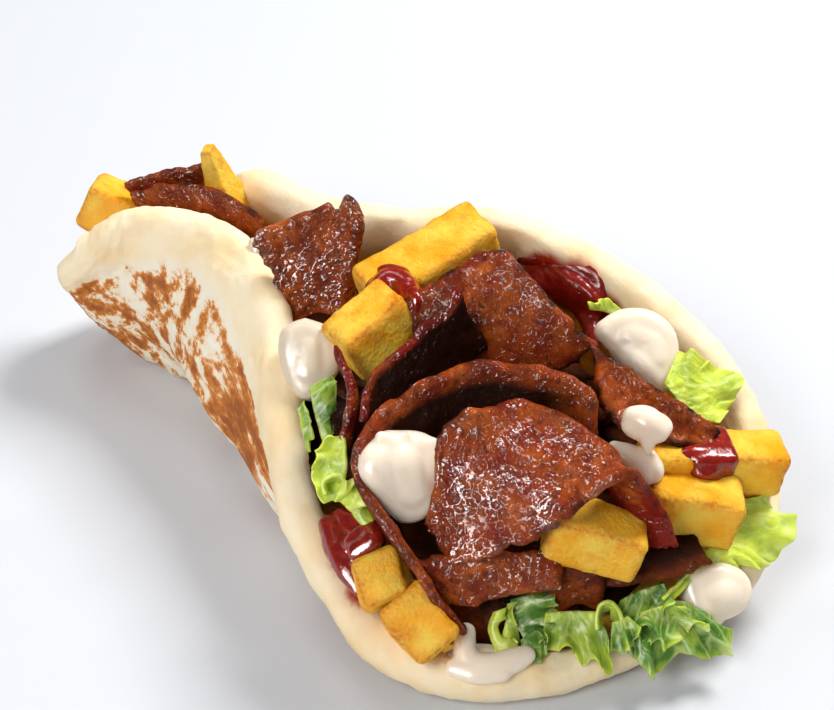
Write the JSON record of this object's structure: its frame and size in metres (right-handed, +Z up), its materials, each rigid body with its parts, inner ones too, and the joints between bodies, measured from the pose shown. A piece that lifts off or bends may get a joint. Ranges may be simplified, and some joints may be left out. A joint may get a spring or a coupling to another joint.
{
  "type": "doner kebab sandwich",
  "caption": "Folded thick flatbread wrap, narrow at one end and wide open at the other, heaped with carved meat slices, thick fries, lettuce, white garlic sauce and red chilli sauce.",
  "frame": {"origin": "on the flat underside of the bread, about under the middle of the heaped filling", "axes": "+X along the wrap from its narrow rolled end to its wide open end, +Y from the near, folded-over wall to the far, upright wall, +Z up"},
  "size_m": [0.1804, 0.1009, 0.0661],
  "materials": {
    "bread": "dry, floury flatbread with browned spots",
    "meat": "glossy, browned carved meat",
    "fry": "golden, lightly oiled fry",
    "lettuce": "fresh, slightly waxy leaf",
    "white_sauce": "smooth, wet, creamy sauce",
    "red_sauce": "wet, thick chilli sauce"
  },
  "bodies": {
    "root": {"flatbread": "bread", "packed_filling": "meat", "slice_dark_right": "meat", "slice_end_back": "meat", "slice_end_front": "meat", "slice_glossy": "meat", "slice_hoop": "meat", "slice_low_mid": "meat", "slice_low_right": "meat", "slice_saddle": "meat", "slice_thin_left": "meat", "slice_thin_mid": "meat", "slice_tongue": "meat", "slice_upright": "meat", "fry_back_end": "fry", "fry_front": "fry", "fry_left_lower": "fry", "fry_left_upper": "fry", "fry_on_wall": "fry", "fry_right": "fry", "fry_right_middle": "fry", "fry_short": "fry", "fry_spike": "fry", "leaf_back_right": "lettuce", "leaf_front_left": "lettuce", "leaf_front_middle": "lettuce", "leaf_front_right": "lettuce", "leaf_left": "lettuce", "leaf_left_curl": "lettuce", "leaf_right": "lettuce", "leaf_shred": "lettuce", "white_sauce_back": "white_sauce", "white_sauce_centre": "white_sauce", "white_sauce_drop": "white_sauce", "white_sauce_front": "white_sauce", "white_sauce_left": "white_sauce", "white_sauce_right": "white_sauce", "white_sauce_small": "white_sauce", "red_sauce_left": "red_sauce", "red_sauce_on_fry": "red_sauce", "red_sauce_right": "red_sauce", "red_sauce_wall": "red_sauce"}
  },
  "joints": []
}
